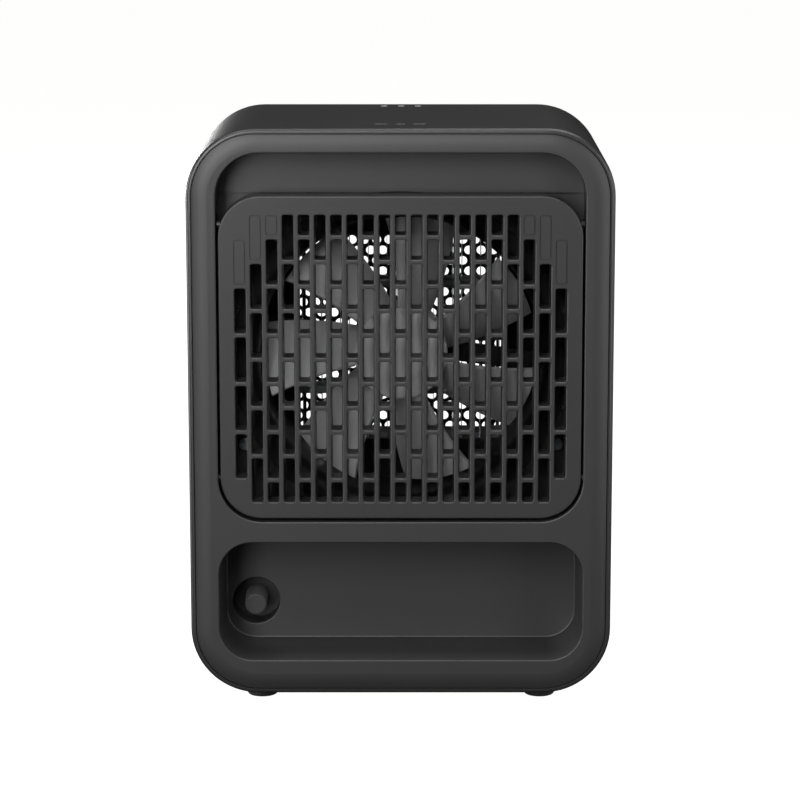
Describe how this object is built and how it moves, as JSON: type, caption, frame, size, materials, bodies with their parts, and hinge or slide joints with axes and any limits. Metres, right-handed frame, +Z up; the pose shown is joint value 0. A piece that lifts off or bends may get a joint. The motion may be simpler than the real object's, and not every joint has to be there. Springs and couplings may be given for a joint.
{
  "type": "ceramic fan heater",
  "caption": "Compact upright ceramic fan heater: rounded box body with a tilting slotted rear intake, a cord recess, an axial fan and a front outlet grille.",
  "frame": {"origin": "on the floor, under the middle of the body", "axes": "+Z up, +Y along the air stream from the rear intake to the front outlet, +X to the right as seen from the rear"},
  "size_m": [0.19, 0.118, 0.2615],
  "materials": {
    "shell": "fine spark-eroded texture, dark charcoal",
    "cover": "fine spark-eroded texture, dark charcoal",
    "panel": "satin moulded, dark charcoal",
    "black_plastic": "moulded, black",
    "grille": "moulded, black",
    "fan_plastic": "satin moulded, grey",
    "knob": "satin moulded, charcoal",
    "heat_resin": "glass-filled, black",
    "nylon": "natural nylon",
    "rubber": "matte black",
    "screw_steel": "black zinc",
    "motor_steel": "zinc plated",
    "stator_steel": "laminated",
    "brass": "turned",
    "aluminium": "mill finish",
    "ceramic": "sintered barium titanate",
    "lens": "translucent amber"
  },
  "bodies": {
    "housing": {"housing_sleeve": "shell", "rear_cover": "cover", "front_cover": "cover", "outlet_grille": "grille", "outlet_duct": "black_plastic", "duct_screws": "screw_steel", "fan_shroud": "black_plastic", "plenum_screws": "screw_steel", "motor_can": "motor_steel", "motor_end_cap": "motor_steel", "motor_stator": "stator_steel", "motor_bearings": "brass", "motor_bracket": "black_plastic", "bracket_screws": "screw_steel", "air_duct": "black_plastic", "element_holder": "heat_resin", "element_tubes": "aluminium", "ceramic_stones": "ceramic", "element_fins": "aluminium", "element_terminals": "brass", "thermal_cutout": "motor_steel", "thermal_fuse": "motor_steel", "selector_switch": "black_plastic", "switch_nut": "motor_steel", "indicator_lens": "lens", "indicator_lamp": "nylon", "terminal_block": "nylon", "terminal_screws": "brass", "tip_switch": "nylon", "cord_gland": "rubber", "cord_clamp": "nylon", "clamp_screws": "screw_steel", "feet": "rubber", "foot_screws": "screw_steel"},
    "rotor": {"impeller": "fan_plastic", "hub_bush": "brass", "motor_shaft": "motor_steel", "motor_rotor": "stator_steel"},
    "intake": {"intake_panel": "panel"},
    "selector": {"selector_knob": "knob", "selector_spindle": "motor_steel"}
  },
  "joints": [
    {"name": "fan_spin", "type": "hinge", "parent": "housing", "child": "rotor", "pos_m": [0, 0, 0.1562], "axis": [0, -1, 0], "continuous": true},
    {"name": "panel_tilt", "type": "hinge", "parent": "housing", "child": "intake", "pos_m": [0, -0.0548, 0.1041], "axis": [1, 0, 0], "range_deg": [0, 20]},
    {"name": "selector_turn", "type": "hinge", "parent": "housing", "child": "selector", "pos_m": [0, 0.05, 0.0486], "axis": [0, -1, 0], "range_deg": [0, 135]}
  ]
}
